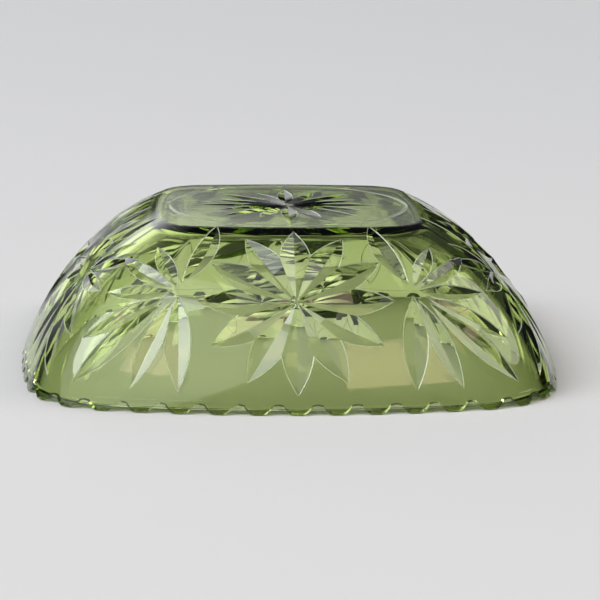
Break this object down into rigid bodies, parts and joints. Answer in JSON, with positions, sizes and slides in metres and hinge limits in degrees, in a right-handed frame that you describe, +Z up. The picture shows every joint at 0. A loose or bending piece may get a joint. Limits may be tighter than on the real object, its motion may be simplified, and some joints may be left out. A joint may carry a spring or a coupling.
{
  "type": "square pressed-glass dish",
  "caption": "Square green pressed-glass dish with bowed sides, round corners, a scalloped rim, and stars and leaf fans cut into the walls and base.",
  "frame": {"origin": "centre of the bounding box's bottom: the middle of the rim plane, with the dish standing upside down on its rim", "axes": "+X right and +Y back, square to the sides; +Z up from the rim to the flat base"},
  "size_m": [0.19, 0.19, 0.052],
  "materials": {
    "glass": "polished transparent olive-green pressed glass"
  },
  "bodies": {
    "root": {"base": "glass", "rim": "glass", "front_wall": "glass", "right_wall": "glass", "back_wall": "glass", "left_wall": "glass"}
  },
  "joints": []
}
